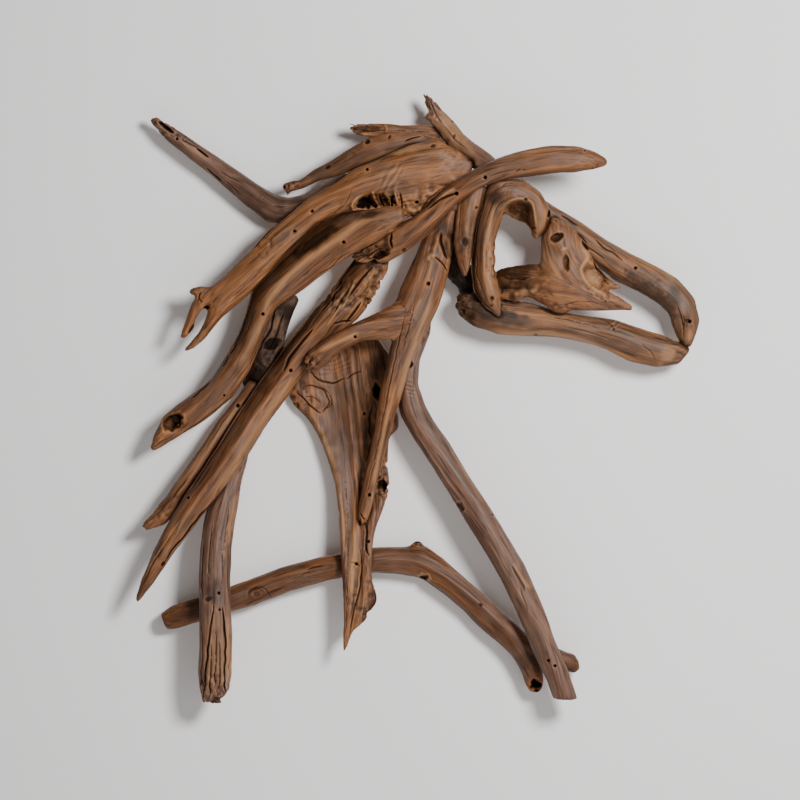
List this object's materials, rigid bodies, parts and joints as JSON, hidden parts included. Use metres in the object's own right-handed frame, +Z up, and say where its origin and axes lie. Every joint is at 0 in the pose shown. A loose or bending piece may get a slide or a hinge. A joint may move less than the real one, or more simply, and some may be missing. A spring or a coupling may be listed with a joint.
{
  "type": "driftwood horse head wall sculpture",
  "caption": "Wall sculpture of a horse's head and neck in profile, built of weathered driftwood branches fastened in layers, with open gaps between them.",
  "frame": {"origin": "on the wall plane, in the middle of the neck board's flat back, where the sculpture hangs on the wall", "axes": "+Z up, +Y into the wall, and +X towards the horse's nose; the whole sculpture stands out from the wall on the -Y side"},
  "size_m": [1.1246, 0.171, 1.2147],
  "materials": {
    "seasoned_driftwood": "weathered, dry, fine grain",
    "greyed_driftwood": "weathered, greyed and checked",
    "orange_driftwood": "weathered, smooth, orange-brown",
    "shaded_driftwood": "rough, dark heartwood"
  },
  "bodies": {
    "root": {"forelock_branch": "seasoned_driftwood", "crest_plank": "seasoned_driftwood", "crest_strip": "seasoned_driftwood", "crown_splinter": "seasoned_driftwood", "front_ear": "seasoned_driftwood", "rear_ear": "greyed_driftwood", "mane_lock_upper": "seasoned_driftwood", "mane_rear_block": "shaded_driftwood", "mane_lock_long": "seasoned_driftwood", "mane_lock_lower": "seasoned_driftwood", "neck_fork": "seasoned_driftwood", "neck_board": "seasoned_driftwood", "chest_post": "greyed_driftwood", "cross_branch": "orange_driftwood", "back_post": "greyed_driftwood", "lower_jaw": "greyed_driftwood", "nose_branch": "seasoned_driftwood", "eye_arch": "seasoned_driftwood", "temple_strip": "seasoned_driftwood", "cheek_knot": "seasoned_driftwood", "throat_block": "shaded_driftwood"}
  },
  "joints": []
}
